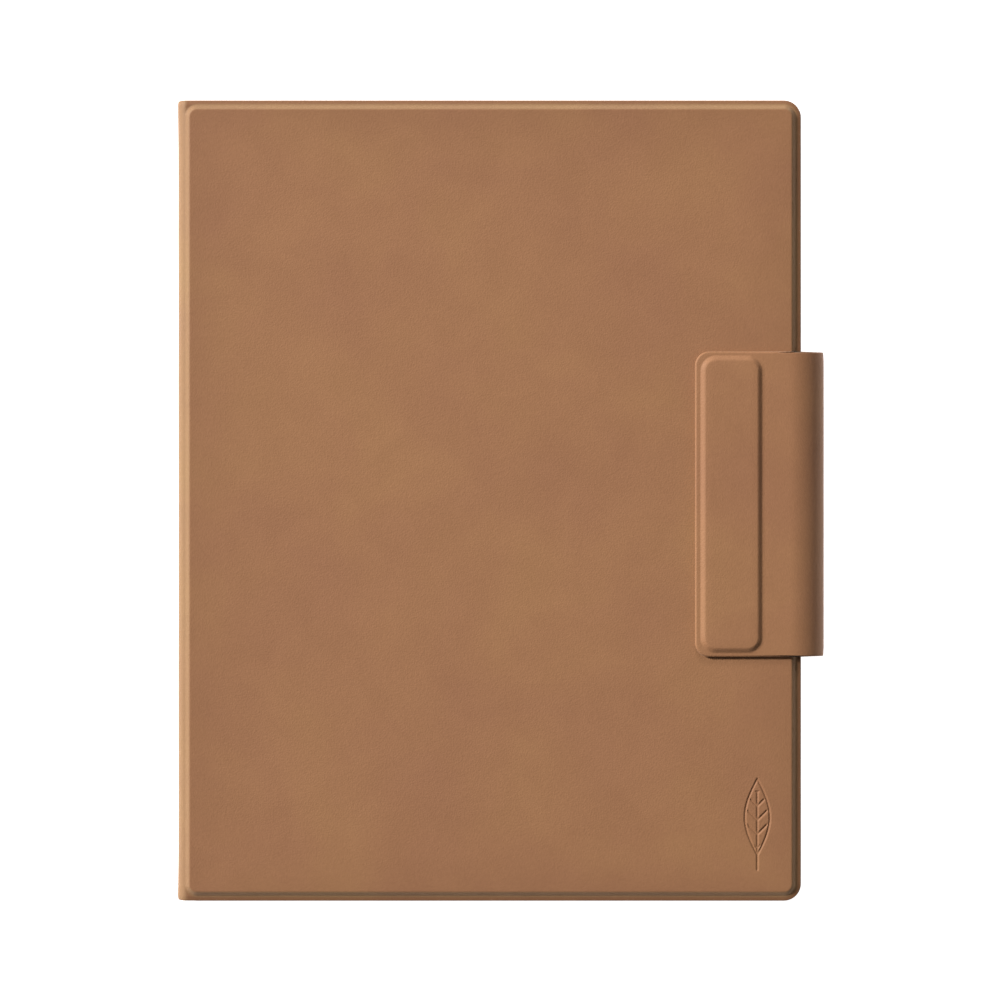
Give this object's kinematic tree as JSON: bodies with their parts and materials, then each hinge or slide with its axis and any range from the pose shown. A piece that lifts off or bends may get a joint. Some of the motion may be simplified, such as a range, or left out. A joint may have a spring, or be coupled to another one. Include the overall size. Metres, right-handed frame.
{
  "type": "e-reader",
  "caption": "Slim pen-ready e-reader held by magnets in a closed brown leather folio with a magnetic closure flap that wraps round the fore edge.",
  "frame": {"origin": "middle of the underside of the closed object, flap included", "axes": "+Z out of the front cover, +Y towards the head of the page, +X towards the closure flap"},
  "size_m": [0.1932, 0.239, 0.0122],
  "materials": {
    "cover_leather": "matte camel-brown nubuck with fine grain",
    "microfibre": "brushed taupe microfibre",
    "fibreboard": "grey-brown pressed fibreboard",
    "magnet": "nickel-plated magnet",
    "steel": "stamped steel",
    "housing": "fine-textured warm light grey",
    "bezel": "satin off-white",
    "lens": "etched matte front film on glass",
    "paper_panel": "light grey electronic paper",
    "circuit_board": "green solder mask",
    "aluminium": "milled",
    "flex": "amber polyimide",
    "battery": "dark pouch film",
    "black_plastic": "moulded black"
  },
  "bodies": {
    "rear_cover": {"rear_cover_skin": "cover_leather", "rear_cover_board": "fibreboard", "rear_cover_lining": "microfibre", "rear_cover_magnet_1": "magnet", "rear_cover_magnet_2": "magnet", "rear_cover_magnet_3": "magnet", "rear_cover_magnet_4": "magnet", "rear_hinge_crease": "cover_leather", "flap_root": "cover_leather"},
    "spine": {"spine_skin": "cover_leather", "spine_lining": "microfibre"},
    "front_cover": {"front_cover_skin": "cover_leather", "front_cover_board": "fibreboard", "front_cover_lining": "microfibre", "flap_catch_plate": "steel", "wake_magnet": "magnet", "front_hinge_crease": "cover_leather"},
    "flap_web": {"flap_web": "cover_leather"},
    "flap_tip": {"flap_bend": "cover_leather", "flap_tip_skin": "cover_leather", "flap_tip_lining": "microfibre", "flap_magnet_1": "magnet", "flap_magnet_2": "magnet", "flap_magnet_3": "magnet"},
    "reader": {"rear_housing": "housing", "front_bezel": "bezel", "front_lens": "lens", "epaper_panel": "paper_panel", "pen_digitiser": "circuit_board", "mid_frame": "aluminium", "battery_left": "battery", "battery_right": "battery", "main_board": "circuit_board", "processor_shield": "steel", "power_shield": "steel", "cover_sensor": "black_plastic", "display_flex": "flex", "digitiser_flex": "flex", "speaker_left": "black_plastic", "speaker_right": "black_plastic", "microphone": "steel", "wireless_antenna": "flex", "power_switch": "black_plastic", "reader_magnet_1": "magnet", "reader_magnet_2": "magnet", "reader_magnet_3": "magnet", "reader_magnet_4": "magnet", "usb_port_shell": "steel", "usb_port_tongue": "black_plastic", "frame_screw_1": "steel", "frame_screw_2": "steel", "frame_screw_3": "steel", "frame_screw_4": "steel", "frame_screw_5": "steel", "frame_screw_6": "steel", "board_screw_1": "steel", "board_screw_2": "steel", "board_screw_3": "steel"},
    "power_button": {"power_button": "housing"}
  },
  "joints": [
    {"name": "spine_fold", "type": "hinge", "parent": "rear_cover", "child": "spine", "pos_m": [-0.09606, 0, 0.00169], "axis": [0, -1, 0], "range_deg": [0, 90]},
    {"name": "cover_fold", "type": "hinge", "parent": "spine", "child": "front_cover", "pos_m": [-0.09606, 0, 0.00831], "axis": [0, -1, 0], "range_deg": [0, 90]},
    {"name": "flap_root_bend", "type": "hinge", "parent": "rear_cover", "child": "flap_web", "pos_m": [0.09536, 0, 0.00239], "axis": [0, 1, 0], "range_deg": [0, 90]},
    {"name": "flap_tip_bend", "type": "hinge", "parent": "flap_web", "child": "flap_tip", "pos_m": [0.09497, 0, 0.00982], "axis": [0, 1, 0], "range_deg": [0, 90]},
    {"name": "reader_slide", "type": "slide", "parent": "rear_cover", "child": "reader", "axis": [0, 1, 0], "range_m": [0, 0.24]},
    {"name": "power_press", "type": "slide", "parent": "reader", "child": "power_button", "axis": [0, -1, 0], "range_m": [0, 0.0003], "stiffness_N_per_m": 2000, "springref_m": -0.0004}
  ],
  "couplings": [
    {"joint": "flap_tip_bend", "follows": "flap_root_bend", "ratio": 1}
  ]
}
